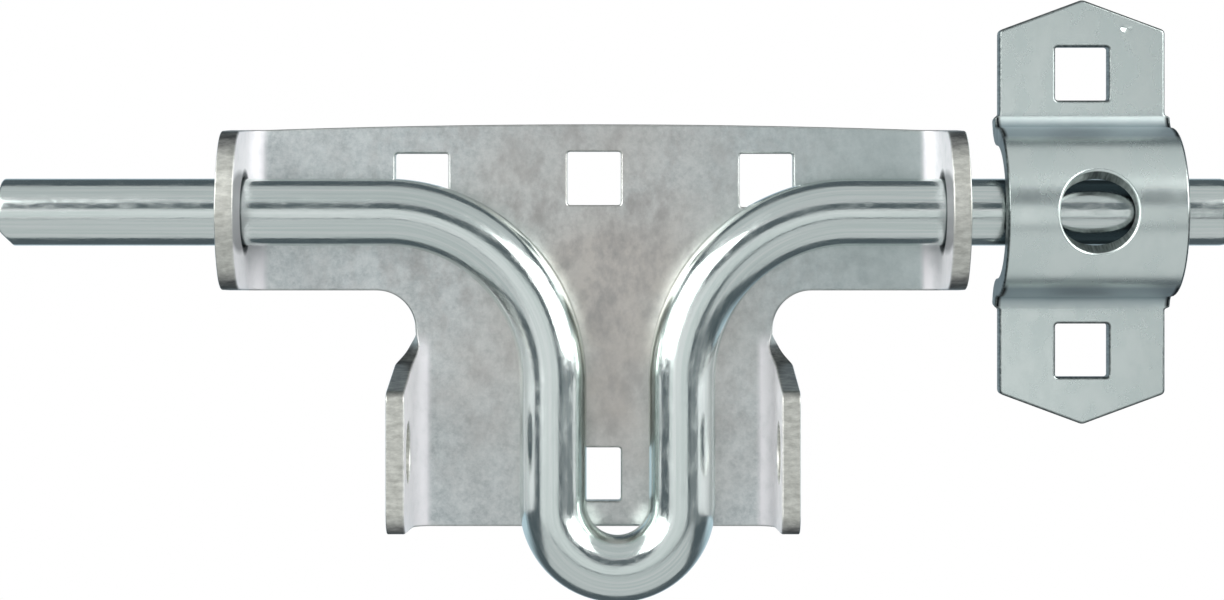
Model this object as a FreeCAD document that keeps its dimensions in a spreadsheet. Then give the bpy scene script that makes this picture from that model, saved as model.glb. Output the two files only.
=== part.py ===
import FreeCAD, Part
import math
import os
import re
import Sketcher
from FreeCAD import Placement, Rotation, Vector

# Sliding bolt door latch: a folded plate, a bent round bolt and a keeper strap.
# X runs along the bolt, towards the keeper. Z is up. Y = 0 is the face of the door,
# and everything stands in front of it, towards -Y. The origin is on that face,
# in the plate's middle, level with the bolt. All sizes are millimetres.

SIZES = (
    # Sheet and rod stock
    ("sheet_thick", 3.5, "thickness of the plate and the keeper"),
    ("bend_inside", 3.0, "inside radius of the plate's folds"),
    ("rod_dia", 12.7, "diameter of the bolt"),
    ("rod_gap", 1.65, "gap between the plate's front and the bolt"),
    # Bolt and its handle loop
    ("leg_spacing", 24.4, "distance between the handle's two legs, centre to centre"),
    ("shoulder_bend", 31.75, "centreline radius where the bolt turns down into a leg"),
    ("leg_drop", 55.4, "from the bolt's axis down to the centre of the handle's round end"),
    ("bolt_throw", 32.1, "whole travel of the handle between the lock ears"),
    ("bolt_rest", 4.5, "how far the bolt stands from mid travel, towards the keeper"),
    ("tip_beyond", 9.8, "how far the bolt's end stands out of the keeper"),
    ("tip_round", 2.2, "rounding of the leading end"),
    ("heel_slope", 1.8, "length of the sheared slope under the trailing end"),
    ("heel_rise", 3.4, "height of that slope"),
    # Plate: crossbar with its two guide ears
    ("guide_margin", 6.1, "from the bolt's bend to the guide ear at full travel"),
    ("ear_depth", 28.0, "from the door to the tips of all four ears"),
    ("bar_rise", 15.8, "top of the crossbar above the bolt's axis, at its ends"),
    ("bar_crown", 1.1, "how much higher the crossbar's top edge is in the middle"),
    ("bar_drop", 15.1, "bottom of the crossbar below the bolt's axis"),
    ("guide_tip_arc", 20.0, "radius of the guide ears' rounded tips"),
    ("guide_corner", 4.0, "rounding between that arc and the straight edges"),
    ("guide_play", 0.8, "the guide holes are this much wider than the bolt"),
    # Plate: neck and the two lock ears
    ("neck_inset", 0.2, "the neck's edge lies this far inside the lock ears"),
    ("neck_corner", 7.5, "radius where the crossbar meets the neck"),
    ("plate_drop", 60.5, "bottom of the plate below the bolt's axis"),
    ("flare_top", 23.6, "where the neck's edge starts to flare into the lock ear"),
    ("fold_start", 22.9, "where the sheet below the neck starts to fold"),
    ("fold_full", 26.3, "where it has the lock ear's full bend"),
    ("fold_lead", 0.75, "how far the edge has flared out by then, along the sheet"),
    ("lock_root", 29.2, "top of the lock ear where its bend ends"),
    ("lock_top_fall", 4.0, "how much lower the ear's top is at its tip"),
    ("lock_toe_rise", 1.2, "how much higher its bottom is there than the plate's"),
    ("lock_round_top", 2.0, "rounding of the lock ear's upper tip corner"),
    ("lock_round_low", 4.0, "rounding of its lower tip corner"),
    ("lock_hole", 11.5, "diameter of the padlock hole"),
    ("lock_hole_drop", 45.0, "padlock hole below the bolt's axis"),
    ("lock_hole_edge", 10.0, "centre of the padlock hole from the ear's tip"),
    # Square holes for 3/8 inch coach bolts
    ("square_hole", 10.3, "side of every square hole"),
    ("side_hole_x", 33.2, "side holes from the middle"),
    ("side_hole_rise", 6.1, "side holes above the bolt's axis"),
    ("mid_hole_rise", 6.5, "middle hole above the bolt's axis"),
    ("low_hole_drop", 50.5, "lowest hole below the bolt's axis"),
    # Keeper strap
    ("keeper_gap", 7.5, "gap between the guide ear and the keeper"),
    ("keeper_arch_wide", 33.8, "width of the keeper's arch"),
    ("keeper_foot_inset", 0.95, "how much the two flat feet are narrower, on each side"),
    ("keeper_clear", 0.85, "gap between the bolt and the arch's crown"),
    ("keeper_foot_bend", 2.5, "front radius where a foot turns into the arch"),
    ("keeper_point", 40.9, "half height of the keeper, to its points"),
    ("keeper_point_rise", 5.9, "height of the pointed ends"),
    ("keeper_point_round", 1.5, "rounding of the points"),
    ("keeper_shoulder_round", 1.0, "rounding where they start"),
    ("keeper_hole_edge", 14.25, "centre of the square holes from the points"),
    ("crown_hole", 14.5, "round hole punched in the crown before the strap was arched"),
)

# Lengths that follow from the sizes above, so that pieces keep fitting each other.
FITS = {
    "rod_depth": "sheet_thick + rod_gap + rod_dia / 2",
    "bend_outside": "bend_inside + sheet_thick",
    "lock_in": "(leg_spacing + rod_dia + bolt_throw) / 2",
    "lock_out": "lock_in + sheet_thick",
    "lock_bend_x": "lock_out - bend_outside",
    "bend_middle": "bend_inside + sheet_thick / 2",
    "neck_half": "lock_in - neck_inset",
    "lock_shoulder": "lock_root + lock_top_fall",
    "lock_toe": "plate_drop - lock_toe_rise",
    "lock_hole_depth": "ear_depth - lock_hole_edge",
    "guide_in": "(leg_spacing + bolt_throw) / 2 + shoulder_bend + guide_margin",
    "guide_out": "guide_in + sheet_thick",
    "guide_bend_x": "guide_out - bend_outside",
    "keeper_x": "guide_out + keeper_gap + keeper_arch_wide / 2",
    "bolt_half": "keeper_x + keeper_arch_wide / 2 + tip_beyond - bolt_rest",
    "keeper_foot_wide": "keeper_arch_wide - 2 * keeper_foot_inset",
    "keeper_shoulder": "keeper_point - keeper_point_rise",
    "keeper_hole_rise": "keeper_point - keeper_hole_edge",
    "arch_depth": "sheet_thick + keeper_foot_bend",
    "foot_line": "arch_out + keeper_foot_bend",
    "arch_in": "rod_depth + rod_dia / 2 + keeper_clear - arch_depth",
    "arch_out": "arch_in + sheet_thick",
}

BEYOND = "10"  # how far a cutting outline reaches past the metal
OTHER_END = {1: 2, 2: 1}  # a sketch numbers the two ends of an edge 1 and 2

doc = FreeCAD.newDocument("door_latch")


def make_sheet():
    """Spreadsheet with one named cell for each size."""
    sheet = doc.addObject("Spreadsheet::Sheet", "Sizes")
    for row, (name, millimetres, meaning) in enumerate(SIZES, start=1):
        sheet.set(f"A{row}", meaning)
        sheet.set(f"B{row}", str(millimetres))
        sheet.setAlias(f"B{row}", name)
    doc.recompute()
    return sheet


def cells(text):
    """Expression on the sheet's cells, with each fitted length written out."""
    names = {name for name, _, _ in SIZES}

    def swap(match):
        word = match.group()
        if word in FITS:
            return "(" + cells(FITS[word]) + ")"
        return "Sizes." + word if word in names else word

    return re.sub(r"[a-z][a-z_]*", swap, text)


def length(text):
    """Present value of an expression, in millimetres."""
    return float(doc.Sizes.evalExpression(cells(text).replace("Sizes.", "")))


def bind(thing, prop, text):
    """Tie a property to an expression on the sheet."""
    thing.setExpression(prop, cells(text))


def plane_of(body, role):
    """One of the body's own origin planes."""
    return next(plane for plane in body.Origin.OriginFeatures if plane.Role == role)


def add_sketch(body, name, role, lift="0"):
    """Empty sketch on one of the body's own planes, lifted along its normal."""
    sketch = body.newObject("Sketcher::SketchObject", name)
    sketch.AttachmentSupport = [(plane_of(body, role), "")]
    sketch.MapMode = "FlatFace"
    bind(sketch, "AttachmentOffset.Base.z", lift)
    return sketch


def add_edge(sketch, start, end, radius=None, side=1):
    """Line, or an arc with its centre on the left (side 1) or right (side -1) of the way.

    Returns the geometry's number and which of its ends is the start.
    """
    if radius is None:
        return sketch.addGeometry(Part.LineSegment(start, end), False), 1
    way = end - start
    reach = math.sqrt(max(radius**2 - (way.Length / 2) ** 2, 0))
    centre = (start + end) / 2 + Vector(-way.y, way.x, 0).normalize() * reach * side
    first, last = (start, end) if side > 0 else (end, start)
    begin = math.atan2(first.y - centre.y, first.x - centre.x)
    finish = math.atan2(last.y - centre.y, last.x - centre.x)
    circle = Part.Circle(centre, Vector(0, 0, 1), radius)
    return sketch.addGeometry(Part.ArcOfCircle(circle, begin, finish), False), 1 if side > 0 else 2


def draw(sketch, corners, arcs=None, closed=True):
    """Chain of edges through corners given as pairs of expressions.

    arcs gives, for the edge that leaves a corner, its radius and the side of its centre.
    """
    arcs = arcs or {}
    places = [Vector(length(x), length(y), 0) for x, y in corners]
    places.append(places[0])
    count = len(corners) if closed else len(corners) - 1
    edges = []
    for k in range(count):
        radius, side = arcs.get(k, (None, 1))
        edges.append(add_edge(sketch, places[k], places[k + 1], radius and length(radius), side))
    # A half turn is held by its tangent, because its radius already follows from its ends
    half_turns = [k for k, (radius, _) in arcs.items()
                  if (places[k + 1] - places[k]).Length > 1.99 * length(radius)]
    for k in range(count if closed else count - 1):
        here, start = edges[k]
        after, after_start = edges[(k + 1) % count]
        joint = "Tangent" if k + 1 in half_turns else "Coincident"
        sketch.addConstraint(Sketcher.Constraint(joint, here, OTHER_END[start], after, after_start))
    for k, (x, y) in enumerate(corners):
        edge, start = edges[k] if k < count else (edges[-1][0], OTHER_END[edges[-1][1]])
        for kind, text, place in (("DistanceX", x, places[k].x), ("DistanceY", y, places[k].y)):
            number = sketch.addConstraint(Sketcher.Constraint(kind, -1, 1, edge, start, place))
            bind(sketch, f"Constraints[{number}]", text)
    for k, (radius, _) in arcs.items():
        if k not in half_turns:
            number = sketch.addConstraint(Sketcher.Constraint("Radius", edges[k][0], length(radius)))
            bind(sketch, f"Constraints[{number}]", radius)
    return sketch


def draw_circle(sketch, x, y, radius):
    """Circle whose centre and radius are expressions."""
    circle = Part.Circle(Vector(length(x), length(y), 0), Vector(0, 0, 1), length(radius))
    edge = sketch.addGeometry(circle, False)
    for kind, text in (("DistanceX", x), ("DistanceY", y)):
        number = sketch.addConstraint(Sketcher.Constraint(kind, -1, 1, edge, 3, length(text)))
        bind(sketch, f"Constraints[{number}]", text)
    number = sketch.addConstraint(Sketcher.Constraint("Radius", edge, length(radius)))
    bind(sketch, f"Constraints[{number}]", radius)
    return sketch


def draw_square(sketch, x, y):
    """Square hole centred on a place given as two expressions."""
    half = "square_hole / 2"
    return draw(sketch, ((f"{x} - {half}", f"{y} - {half}"), (f"{x} + {half}", f"{y} - {half}"),
                         (f"{x} + {half}", f"{y} + {half}"), (f"{x} - {half}", f"{y} + {half}")))


def pad(body, name, sketch, thickness, middle=False):
    """Solid raised from a sketch, to one side or half to each."""
    feature = body.newObject("PartDesign::Pad", name)
    feature.Profile = sketch
    feature.SideType = "Symmetric" if middle else "One side"
    bind(feature, "Length", thickness)
    return settle(feature)


def cut(body, name, sketch):
    """Pocket right through, both ways, which has to take metal away."""
    before = body.Shape.Volume
    feature = body.newObject("PartDesign::Pocket", name)
    feature.Profile = sketch
    feature.Type = "ThroughAll"
    feature.Type2 = "ThroughAll"
    feature.SideType = "Two sides"
    settle(feature)
    if not body.Shape.Volume < before - 0.01:
        raise ValueError(f"{name} cuts nothing")
    return feature


def settle(feature):
    """Recompute and stop at once if the feature failed."""
    doc.recompute()
    if {"Invalid", "Error"} & set(feature.State) or feature.Shape.isNull():
        raise ValueError(f"{feature.Name} failed: {feature.State}")
    return feature


def edges_where(feature, test):
    """Names of the feature's edges whose ends all pass a test on a point."""
    found = []
    for number, edge in enumerate(feature.Shape.Edges, start=1):
        if all(test(v.Point) for v in edge.Vertexes):
            found.append(f"Edge{number}")
    return found


def round_edges(body, name, radius, test):
    """Fillet on the edges that pass the test."""
    base = body.Tip
    feature = body.newObject("PartDesign::Fillet", name)
    feature.Base = (base, edges_where(base, test))
    bind(feature, "Radius", radius)
    return settle(feature)


def corner_at(**distances):
    """Test for a point this far from the middle, on either side, along each axis that is named."""
    def test(point):
        return all(abs(abs(getattr(point, axis)) - length(text)) < 0.01
                   for axis, text in distances.items())
    return test


def fold_section(sketch, inner, outer, bend_x):
    """Right half of the sheet seen from above: flat, bend forward, ear."""
    return draw(sketch,
                (("0", "0"), (bend_x, "0"), (outer, "-bend_outside"), (outer, "-ear_depth"),
                 (inner, "-ear_depth"), (inner, "-bend_outside"), (bend_x, "-sheet_thick"),
                 ("0", "-sheet_thick")),
                {1: ("bend_outside", -1), 5: ("bend_inside", 1)})


def make_lower_field(body):
    """Right half of the plate's lower field, folded into the lock ear."""
    fold_section(add_sketch(body, "lock_fold", "XY_Plane", "-plate_drop"),
                 "lock_in", "lock_out", "lock_bend_x")
    pad(body, "lower_field", body.getObject("lock_fold"), "plate_drop - fold_full")

    # The ear's top and bottom edges slope towards each other
    line = add_sketch(body, "lock_ear_line", "YZ_Plane")
    draw(line, (("-bend_outside", "-lock_root"), ("-ear_depth", "-lock_shoulder"),
                (f"-ear_depth - {BEYOND}", "-lock_shoulder"), (f"-ear_depth - {BEYOND}", "0"),
                ("-bend_outside", "0")))
    draw(line, (("-bend_outside", "-plate_drop"), ("-ear_depth", "-lock_toe"),
                (f"-ear_depth - {BEYOND}", "-lock_toe"),
                (f"-ear_depth - {BEYOND}", f"-plate_drop - {BEYOND}"),
                ("-bend_outside", f"-plate_drop - {BEYOND}")))
    cut(body, "lock_ear_edges", line)
    round_edges(body, "lock_corner_top", "lock_round_top", corner_at(y="ear_depth", z="lock_shoulder"))
    round_edges(body, "lock_corner_low", "lock_round_low", corner_at(y="ear_depth", z="lock_toe"))
    hole = add_sketch(body, "lock_hole_line", "YZ_Plane")
    draw_circle(hole, "-lock_hole_depth", "-lock_hole_drop", "lock_hole / 2")
    cut(body, "padlock_hole", hole)
    flare_lock_ear(body)
    blend_into_fold(body)


def flare_lock_ear(body):
    """Round flare from the neck's edge out to the lock ear's top, cut square to the bend.

    The blank's edge leaves the neck at an angle about the bend's axis that its distance from
    the bend line gives, and ends where the bend ends. The cut is a circle seen along the
    radius half way between, through both of those points.
    """
    leaves = "(neck_half - lock_bend_x) / bend_middle * 180 / pi"
    half_wide = f"bend_middle * sin((90 - {leaves}) / 2)"
    drop = "(lock_root - flare_top)"
    radius = f"((2 * {half_wide}) ^ 2 + {drop} ^ 2) / (4 * {half_wide})"
    middle = f"((90 + {leaves}) / 2)"
    axis = f"lock_bend_x * cos({middle}) + bend_outside * sin({middle})"
    sketch = add_sketch(body, "flare_line", "XZ_Plane")
    sketch.AttachmentOffset = Placement(Vector(), Rotation(Vector(0, -1, 0), length(middle)))
    bind(sketch, "AttachmentOffset.Rotation.Angle", middle)
    draw_circle(sketch, f"{axis} - {half_wide} + {radius}", "-flare_top", radius)
    cut(body, "lock_ear_flare", sketch)


def blend_into_fold(body):
    """Stretch of sheet between the flat neck and the full bend."""
    flat = add_sketch(body, "unfolded_edge", "XY_Plane", "-fold_start")
    draw(flat, (("lock_bend_x", "0"), ("neck_half", "0"), ("neck_half", "-sheet_thick"),
                ("lock_bend_x", "-sheet_thick")))
    bent = add_sketch(body, "folded_edge", "XY_Plane", "-fold_full")
    angle = f"(neck_half - lock_bend_x + fold_lead) / bend_middle * 180 / pi"
    draw(bent,
         (("lock_bend_x", "0"),
          (f"lock_bend_x + bend_outside * sin({angle})",
           f"-bend_outside + bend_outside * cos({angle})"),
          (f"lock_bend_x + bend_inside * sin({angle})",
           f"-bend_outside + bend_inside * cos({angle})"),
          ("lock_bend_x", "-sheet_thick")),
         {0: ("bend_outside", -1), 2: ("bend_inside", 1)})
    loft = body.newObject("PartDesign::AdditiveLoft", "fold_blend")
    loft.Profile = flat
    loft.Sections = [bent]
    settle(loft)


def make_neck(body):
    """Right half of the neck, with the inward corner under the crossbar."""
    neck = add_sketch(body, "neck_line", "XZ_Plane")
    draw(neck,
         (("0", "0"), ("neck_half + neck_corner", "0"), ("neck_half + neck_corner", "-bar_drop"),
          ("neck_half", "-bar_drop - neck_corner"), ("neck_half", "-fold_start"),
          ("lock_bend_x", "-fold_start"), ("lock_bend_x", "-lock_shoulder"),
          ("0", "-lock_shoulder")),
         {2: ("neck_corner", 1)})
    pad(body, "neck", neck, "sheet_thick")


def make_crossbar(body):
    """Right half of the crossbar, folded into the guide ear."""
    fold_section(add_sketch(body, "guide_fold", "XY_Plane", "-bar_drop"),
                 "guide_in", "guide_out", "guide_bend_x")
    pad(body, "crossbar", body.getObject("guide_fold"), "bar_drop + bar_rise + bar_crown")

    # The top edge is one shallow arc, bar_crown higher in the middle than at the bends
    arc = "((guide_bend_x) ^ 2 + bar_crown ^ 2) / (2 * bar_crown)"
    far = f"guide_out + {BEYOND}"
    crown = add_sketch(body, "crown_line", "XZ_Plane")
    draw(crown,
         (("0", "bar_rise + bar_crown"), ("guide_bend_x", "bar_rise"), (far, "bar_rise"),
          (far, f"bar_rise + {BEYOND}"), ("0", f"bar_rise + {BEYOND}")),
         {0: (arc, -1)})
    cut(body, "crowned_top", crown)

    # Rounded tip of the guide ear, its corners, and the hole for the bolt
    high = f"(bar_rise + {BEYOND} / 5)"
    tip_y = f"-(ear_depth - guide_tip_arc + sqrt(guide_tip_arc ^ 2 - {high} ^ 2))"
    tip = add_sketch(body, "guide_tip_line", "YZ_Plane")
    draw(tip,
         ((tip_y, high), (f"-ear_depth - {BEYOND}", high), (f"-ear_depth - {BEYOND}", f"-{high}"),
          (tip_y, f"-{high}")),
         {3: ("guide_tip_arc", -1)})
    cut(body, "guide_tip", tip)

    def on_tip_corner(point):
        past_bend = length("bend_outside") + 1 < -point.y < length("ear_depth") - 1
        return past_bend and (abs(point.z - length("bar_rise")) < 0.01
                              or abs(point.z + length("bar_drop")) < 0.01)

    round_edges(body, "guide_corners", "guide_corner", on_tip_corner)
    hole = add_sketch(body, "guide_hole_line", "YZ_Plane")
    draw_circle(hole, "-rod_depth", "0", "(rod_dia + guide_play) / 2")
    cut(body, "guide_hole", hole)


def make_latch_plate():
    """One folded sheet: the right half is built, mirrored, and then the middle holes are cut."""
    body = doc.addObject("PartDesign::Body", "latch_plate")
    make_lower_field(body)
    make_neck(body)
    make_crossbar(body)
    side = draw_square(add_sketch(body, "side_hole_line", "XZ_Plane"),
                       "side_hole_x", "side_hole_rise")
    cut(body, "side_hole", side)
    both = body.newObject("PartDesign::Mirrored", "other_half")
    both.TransformMode = "Whole shape"
    both.MirrorPlane = (plane_of(body, "YZ_Plane"), [""])
    body.Tip = both
    settle(both)
    middle = add_sketch(body, "middle_hole_line", "XZ_Plane")
    draw_square(middle, "0", "mid_hole_rise")
    draw_square(middle, "0", "-low_hole_drop")
    cut(body, "middle_holes", middle)
    return body


def make_slide_bolt():
    """One round rod, bent down, round and up again into the handle loop."""
    body = doc.addObject("PartDesign::Body", "slide_bolt")
    half = "leg_spacing / 2"
    path = draw(add_sketch(body, "bolt_path", "XZ_Plane"),
                (("-bolt_half", "0"), (f"-{half} - shoulder_bend", "0"),
                 (f"-{half}", "-shoulder_bend"), (f"-{half}", "-leg_drop"),
                 (half, "-leg_drop"), (half, "-shoulder_bend"),
                 (f"{half} + shoulder_bend", "0"), ("bolt_half", "0")),
                {1: ("shoulder_bend", -1), 3: (half, 1), 5: ("shoulder_bend", -1)},
                closed=False)
    section = draw_circle(add_sketch(body, "rod_section", "YZ_Plane", "-bolt_half"),
                          "0", "0", "rod_dia / 2")
    rod = body.newObject("PartDesign::AdditivePipe", "bent_rod")
    rod.Profile = section
    rod.Spine = (path, [])
    settle(rod)
    round_edges(body, "leading_end", "tip_round",
                lambda point: abs(point.x - length("bolt_half")) < 0.01)
    heel = draw(add_sketch(body, "heel_line", "XZ_Plane"),
                (("-bolt_half", "-rod_dia / 2 + heel_rise"),
                 ("-bolt_half + heel_slope", "-rod_dia / 2"),
                 ("-bolt_half + heel_slope", f"-rod_dia / 2 - {BEYOND}"),
                 (f"-bolt_half - {BEYOND}", f"-rod_dia / 2 - {BEYOND}"),
                 (f"-bolt_half - {BEYOND}", "-rod_dia / 2 + heel_rise")))
    cut(body, "sheared_heel", heel)
    bind(body, "Placement.Base.x", "bolt_rest")
    bind(body, "Placement.Base.y", "-rod_depth")
    return body


def make_crown_punch():
    """Tool for the crown's hole: a loft whose walls point at the arch's axis.

    The hole was punched round in the flat strap. Arching the strap keeps its width and turns
    its height into an angle, so each section of the tool is an oval as wide as the hole, whose
    height grows in step with its distance from the axis.
    """
    half_angle = length("crown_hole / 2") / length("arch_in + sheet_thick / 2")
    sections = []
    for distance in (length("arch_in / 2"), length("arch_out + 2")):
        points = []
        for k in range(16):
            turn = math.pi * k / 8
            points.append(Vector(length("crown_hole / 2") * math.cos(turn),
                                 -length("arch_depth") - distance,
                                 distance * math.tan(half_angle) * math.sin(turn)))
        oval = Part.BSplineCurve()
        oval.interpolate(Points=points, PeriodicFlag=True)
        sections.append(Part.Wire(oval.toShape()))
    punch = doc.addObject("Part::Feature", "crown_punch")
    punch.Shape = Part.makeLoft(sections, True)
    return punch


def make_keeper():
    """One strap: two pointed feet with square holes, and the arch that the bolt runs under."""
    body = doc.addObject("PartDesign::Body", "keeper_strap")
    profile = draw(
        add_sketch(body, "strap_section", "YZ_Plane"),
        (("0", "-keeper_point"), ("0", "-foot_line"), ("-arch_depth", "-arch_in"),
         ("-arch_depth", "arch_in"), ("0", "foot_line"), ("0", "keeper_point"),
         ("-sheet_thick", "keeper_point"), ("-sheet_thick", "foot_line"),
         ("-arch_depth", "arch_out"), ("-arch_depth", "-arch_out"),
         ("-sheet_thick", "-foot_line"), ("-sheet_thick", "-keeper_point")),
        {1: ("arch_depth", 1), 2: ("arch_in", -1), 3: ("arch_depth", 1),
         7: ("keeper_foot_bend", -1), 8: ("arch_out", 1), 9: ("keeper_foot_bend", -1)})
    pad(body, "strap", profile, "keeper_arch_wide", middle=True)

    # The feet are a little narrower than the arch, and end in a blunt point with rounded corners
    side = "keeper_foot_wide / 2"
    far = f"(keeper_arch_wide / 2 + {BEYOND})"
    outline = add_sketch(body, "foot_line_up_down", "XZ_Plane")
    for up in ("", "-"):
        draw(outline,
             ((side, f"{up}foot_line"), (side, f"{up}keeper_shoulder"), ("0", f"{up}keeper_point"),
              (f"-{side}", f"{up}keeper_shoulder"), (f"-{side}", f"{up}foot_line"),
              (f"-{far}", f"{up}foot_line"), (f"-{far}", f"{up}(keeper_point + {BEYOND})"),
              (far, f"{up}(keeper_point + {BEYOND})"), (far, f"{up}foot_line")))
    cut(body, "foot_outlines", outline)
    round_edges(body, "point_corners", "keeper_point_round", corner_at(x="0", z="keeper_point"))
    round_edges(body, "shoulder_corners", "keeper_shoulder_round", corner_at(x=side, z="keeper_shoulder"))
    holes = add_sketch(body, "foot_holes_line", "XZ_Plane")
    draw_square(holes, "0", "keeper_hole_rise")
    draw_square(holes, "0", "-keeper_hole_rise")
    cut(body, "foot_holes", holes)

    keeper = doc.addObject("Part::Cut", "keeper")
    keeper.Base = body
    keeper.Tool = make_crown_punch()
    bind(keeper, "Placement.Base.x", "keeper_x")
    return settle(keeper)


def write_parts(pieces):
    """Check the whole document, then write one STEP file for each piece."""
    doc.recompute()
    for item in doc.Objects:
        if {"Invalid", "Error"} & set(item.State):
            raise ValueError(f"{item.Name}: {item.State}")
    os.makedirs("parts", exist_ok=True)
    for piece in pieces:
        shape = piece.Shape
        if shape.isNull() or not shape.isValid() or len(shape.Solids) != 1:
            raise ValueError(f"{piece.Label} is not one valid solid")
        shape.exportStep(f"parts/{piece.Label}.step")


make_sheet()
write_parts([make_latch_plate(), make_slide_bolt(), make_keeper()])
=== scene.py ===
import math

import bpy
import numpy as np
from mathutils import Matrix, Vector
from mathutils.geometry import delaunay_2d_cdt


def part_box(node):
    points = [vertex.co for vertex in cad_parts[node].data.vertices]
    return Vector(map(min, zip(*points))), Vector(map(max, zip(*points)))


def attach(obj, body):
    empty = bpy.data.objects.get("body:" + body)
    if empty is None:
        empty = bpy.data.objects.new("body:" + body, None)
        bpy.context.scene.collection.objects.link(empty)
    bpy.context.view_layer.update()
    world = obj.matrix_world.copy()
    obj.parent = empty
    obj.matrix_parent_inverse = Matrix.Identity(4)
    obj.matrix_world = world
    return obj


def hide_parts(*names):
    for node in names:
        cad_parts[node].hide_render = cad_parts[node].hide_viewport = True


# A sliding bolt door latch of zinc plated steel, as it stands on the face of a door.
# Lengths are metres. X runs along the bolt, Z is up and -Y is the way out of the door.

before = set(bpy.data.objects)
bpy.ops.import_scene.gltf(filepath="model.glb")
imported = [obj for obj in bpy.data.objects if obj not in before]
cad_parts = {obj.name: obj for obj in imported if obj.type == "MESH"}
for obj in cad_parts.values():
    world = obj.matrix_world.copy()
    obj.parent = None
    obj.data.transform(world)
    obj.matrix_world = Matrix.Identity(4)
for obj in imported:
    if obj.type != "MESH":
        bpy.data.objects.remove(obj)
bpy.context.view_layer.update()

MM = 0.001
PLATE_LOW, PLATE_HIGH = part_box("latch_plate")
BOLT_LOW, BOLT_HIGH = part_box("slide_bolt")
KEEPER_LOW, KEEPER_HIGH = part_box("keeper")

# Sheet stock and its folds
SHEET = 3.5 * MM
BEND_INSIDE = 3.0 * MM
BEND_OUTSIDE = BEND_INSIDE + SHEET
BEND_MIDDLE = BEND_INSIDE + SHEET / 2
BEND_LENGTH = BEND_MIDDLE * math.pi / 2
GRID = 1.0 * MM            # spacing of the points on a sheet's faces
BEND_GRID = 0.35 * MM      # and across its bends
GRID_CLEAR = 0.6 * GRID    # how far the grid's points keep from its cut edges
LOOP_STEP = 0.6 * MM       # spacing along its cut edges
PLATE_EDGE = 0.45 * MM     # rounding that the punch drags into the front of a cut edge
KEEPER_EDGE = 0.55 * MM    # the same on the keeper
BACK_EDGE = 0.25 * MM      # and the smaller one at the back
ROUND_RINGS = 5            # rings of points on each of these roundings
WALL_RINGS = 4             # and on the straight cut wall between them
GRID_LOTS = 40             # the grid is tested against the edges in this many lots
TOUCHING = 1e-5            # points of the blank that lie this near, in millimetres, are one

# Plate
EAR_DEPTH = -PLATE_LOW.y
GUIDE_BEND = PLATE_HIGH.x - BEND_OUTSIDE
LOCK_OUT = 38.1 * MM
LOCK_BEND = LOCK_OUT - BEND_OUTSIDE
NECK_HALF = 34.4 * MM
NECK_CORNER = 7.5 * MM
BAR_CROWN = 1.1 * MM
BAR_RISE = PLATE_HIGH.z - BAR_CROWN
BAR_DROP = 15.1 * MM
PLATE_DROP = -PLATE_LOW.z
GUIDE_ARC = 20.0 * MM
GUIDE_CORNER = 7.5 * MM
GUIDE_TAPER = 0.05        # how much narrower the guide ears are at their tips
FOLD_START = 22.9 * MM
FOLD_FULL = 26.3 * MM
LOCK_ROOT = 29.2 * MM
LOCK_SHOULDER = 33.2 * MM
LOCK_TOE = 59.3 * MM
LOCK_FLARE = 5.7 * MM
LOCK_ROUND_TOP = 2.0 * MM
LOCK_ROUND_LOW = 4.0 * MM
PADLOCK_HOLE = 11.5 * MM
PADLOCK_DROP = 45.0 * MM
PADLOCK_DEPTH = 18.0 * MM
SQUARE_HOLE = 10.3 * MM
SQUARE_CORNER = 0.5 * MM
SIDE_HOLE = (33.2 * MM, 6.1 * MM)
MIDDLE_HOLE = (0.0, 6.5 * MM)
LOWEST_HOLE = (0.0, -50.5 * MM)

# Bolt
BAR_RADIUS = BOLT_HIGH.z
BOLT_DEPTH = -(BOLT_LOW.y + BOLT_HIGH.y) / 2
BOLT_MIDDLE = (BOLT_LOW.x + BOLT_HIGH.x) / 2
BOLT_HALF = (BOLT_HIGH.x - BOLT_LOW.x) / 2
LEG_HALF = 12.2 * MM
SHOULDER_BEND = 31.75 * MM
LEG_DROP = -BOLT_LOW.z - BAR_RADIUS - LEG_HALF
TIP_ROUND = 2.2 * MM
HEEL_ROUND = 0.5 * MM
HEEL_SLOPE = 1.8 * MM
HEEL_RISE = 3.4 * MM
HEEL_EASE = 4.0 * MM       # length over which the slope dies out along the bar
GUIDE_HOLE_RADIUS = BAR_RADIUS + 0.4 * MM
AROUND_BAR = 96            # points round the bar
BAR_STEP = 0.7 * MM        # spacing of its rings
END_RINGS = 7              # rings on each end's face
TIP_RINGS = 5              # and on the rounding of each end

# Keeper
KEEPER_X = (KEEPER_LOW.x + KEEPER_HIGH.x) / 2
ARCH_HALF = (KEEPER_HIGH.x - KEEPER_LOW.x) / 2
FOOT_HALF = 15.95 * MM
FOOT_BEND = 2.5 * MM
ARCH_DEPTH = SHEET + FOOT_BEND
ARCH_INSIDE = -KEEPER_LOW.y - SHEET - ARCH_DEPTH
ARCH_MIDDLE = ARCH_INSIDE + SHEET / 2
FOOT_MIDDLE = FOOT_BEND + SHEET / 2
FOOT_LINE = ARCH_INSIDE + SHEET + FOOT_BEND
ARCH_LENGTH = ARCH_MIDDLE * math.pi / 2
FOOT_START = ARCH_LENGTH + FOOT_MIDDLE * math.pi / 2
KEEPER_POINT = 40.9 * MM
KEEPER_SHOULDER = 35.0 * MM
POINT_ROUND = 1.5 * MM
SHOULDER_ROUND = 1.0 * MM
KEEPER_STEP = 0.6 * MM     # roundings of the small step from the arch in to a foot
KEEPER_HOLE_RISE = 26.65 * MM
CROWN_HOLE = 14.5 * MM
NICK = (8.5 * MM, 35.4 * MM)  # place of the nick in the upper foot, from the keeper's middle
BORE_SHADE_DEPTH = 18.5 * MM    # how far from the door the painted shade beside the bore has its middle
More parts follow.
